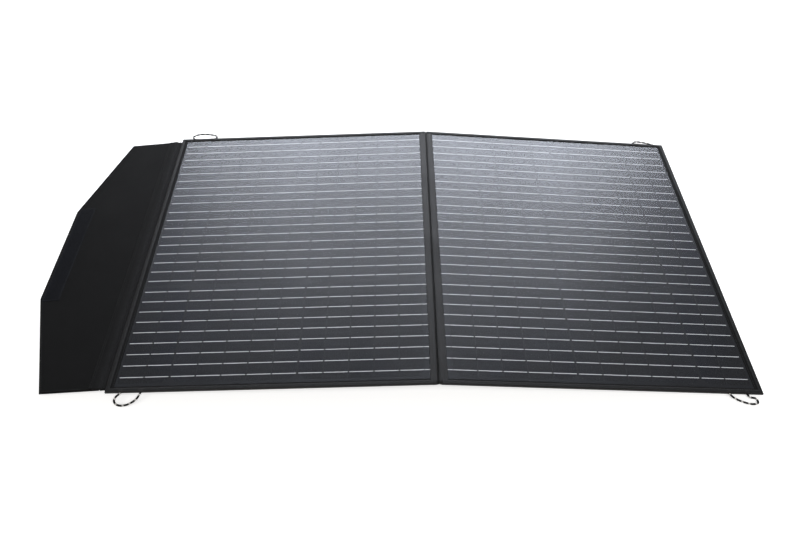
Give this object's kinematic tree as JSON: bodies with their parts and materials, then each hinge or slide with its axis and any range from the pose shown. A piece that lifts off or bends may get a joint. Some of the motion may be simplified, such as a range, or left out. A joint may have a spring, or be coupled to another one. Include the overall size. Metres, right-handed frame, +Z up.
{
  "type": "folding solar panel",
  "caption": "Foldable fabric-bound solar panel for camping: stiff cell panels joined by a fold, with a closing flap, a zipped back pocket and tie-down cord loops.",
  "frame": {"origin": "centre of the laid-out panel's box, on the ground", "axes": "+X from the flap to the right panel, +Y away from the front edge, +Z up from the ground"},
  "size_m": [1.0534, 0.5698, 0.0385],
  "materials": {
    "oxford_fabric": "matt coated polyester weave, black",
    "binding_tape": "ribbed polyester tape, black",
    "webbing": "woven polyester webbing, black",
    "hook_and_loop": "nylon hook-and-loop tape, bluish black",
    "cord": "braided polyester cord, black with white flecks",
    "board": "glass-fibre board, natural",
    "backsheet": "black polymer backsheet",
    "silicon": "monocrystalline wafer under a nitride coating, blue-black",
    "tinned_copper": "tin-coated copper ribbon, bright",
    "copper_braid": "flat copper braid",
    "front_film": "satin fluoropolymer film, clear",
    "zip_plastic": "moulded black zip teeth",
    "zip_metal": "black-lacquered zinc",
    "box_plastic": "moulded black polymer, fine spark texture",
    "diode_plastic": "black epoxy",
    "screw_steel": "zinc-plated steel",
    "brass": "machined brass"
  },
  "bodies": {
    "left_panel": {"left_back_fabric": "oxford_fabric", "left_board": "board", "left_backsheet": "backsheet", "left_cells": "silicon", "left_ribbons": "tinned_copper", "left_bus_strips": "tinned_copper", "left_film": "front_film", "left_border": "oxford_fabric", "left_binding": "binding_tape", "left_cord_anchors": "webbing", "left_hinge_front": "oxford_fabric", "left_hinge_back": "oxford_fabric", "left_jumper": "copper_braid", "pocket": "oxford_fabric", "zip_tape": "binding_tape", "zip_teeth": "zip_plastic", "box_base": "box_plastic", "box_lid": "box_plastic", "box_screws": "screw_steel", "box_terminals": "brass", "box_diodes": "diode_plastic", "box_gland": "box_plastic", "cord_front_left": "cord", "cord_back_left": "cord"},
    "right_panel": {"right_back_fabric": "oxford_fabric", "right_board": "board", "right_backsheet": "backsheet", "right_cells": "silicon", "right_ribbons": "tinned_copper", "right_bus_strips": "tinned_copper", "right_film": "front_film", "right_border": "oxford_fabric", "right_binding": "binding_tape", "right_cord_anchors": "webbing", "right_hinge_front": "oxford_fabric", "right_hinge_back": "oxford_fabric", "right_jumper": "copper_braid", "right_loop_strip": "hook_and_loop", "cord_front_right": "cord", "cord_back_right": "cord"},
    "spine": {"spine_fabric": "oxford_fabric"},
    "flap": {"flap_face": "oxford_fabric", "flap_board": "board", "flap_back": "oxford_fabric", "flap_binding": "binding_tape", "hook_strip": "hook_and_loop"},
    "zip_slider": {"zip_slider": "zip_metal"},
    "zip_pull": {"zip_pull": "zip_metal"}
  },
  "joints": [
    {"name": "centre_fold", "type": "hinge", "parent": "left_panel", "child": "right_panel", "pos_m": [0.07596, 0, 0.03874], "axis": [0, -1, 0], "range_deg": [0, 186.5]},
    {"name": "spine_fold", "type": "hinge", "parent": "left_panel", "child": "spine", "pos_m": [-0.37651, 0, 0.01895], "axis": [0, 1, 0], "range_deg": [0, 93.7]},
    {"name": "flap_fold", "type": "hinge", "parent": "spine", "child": "flap", "pos_m": [-0.38546, 0, 0.018], "axis": [0, 1, 0], "range_deg": [0, 90]},
    {"name": "zip_slide", "type": "slide", "parent": "left_panel", "child": "zip_slider", "axis": [-0.9992, 0, -0.0398], "range_m": [0, 0.187]},
    {"name": "pull_swing", "type": "hinge", "parent": "zip_slider", "child": "zip_pull", "pos_m": [0.03792, -0.1548, 0.02636], "axis": [-0.0398, 0, 0.9992], "range_deg": [0, 150]}
  ]
}
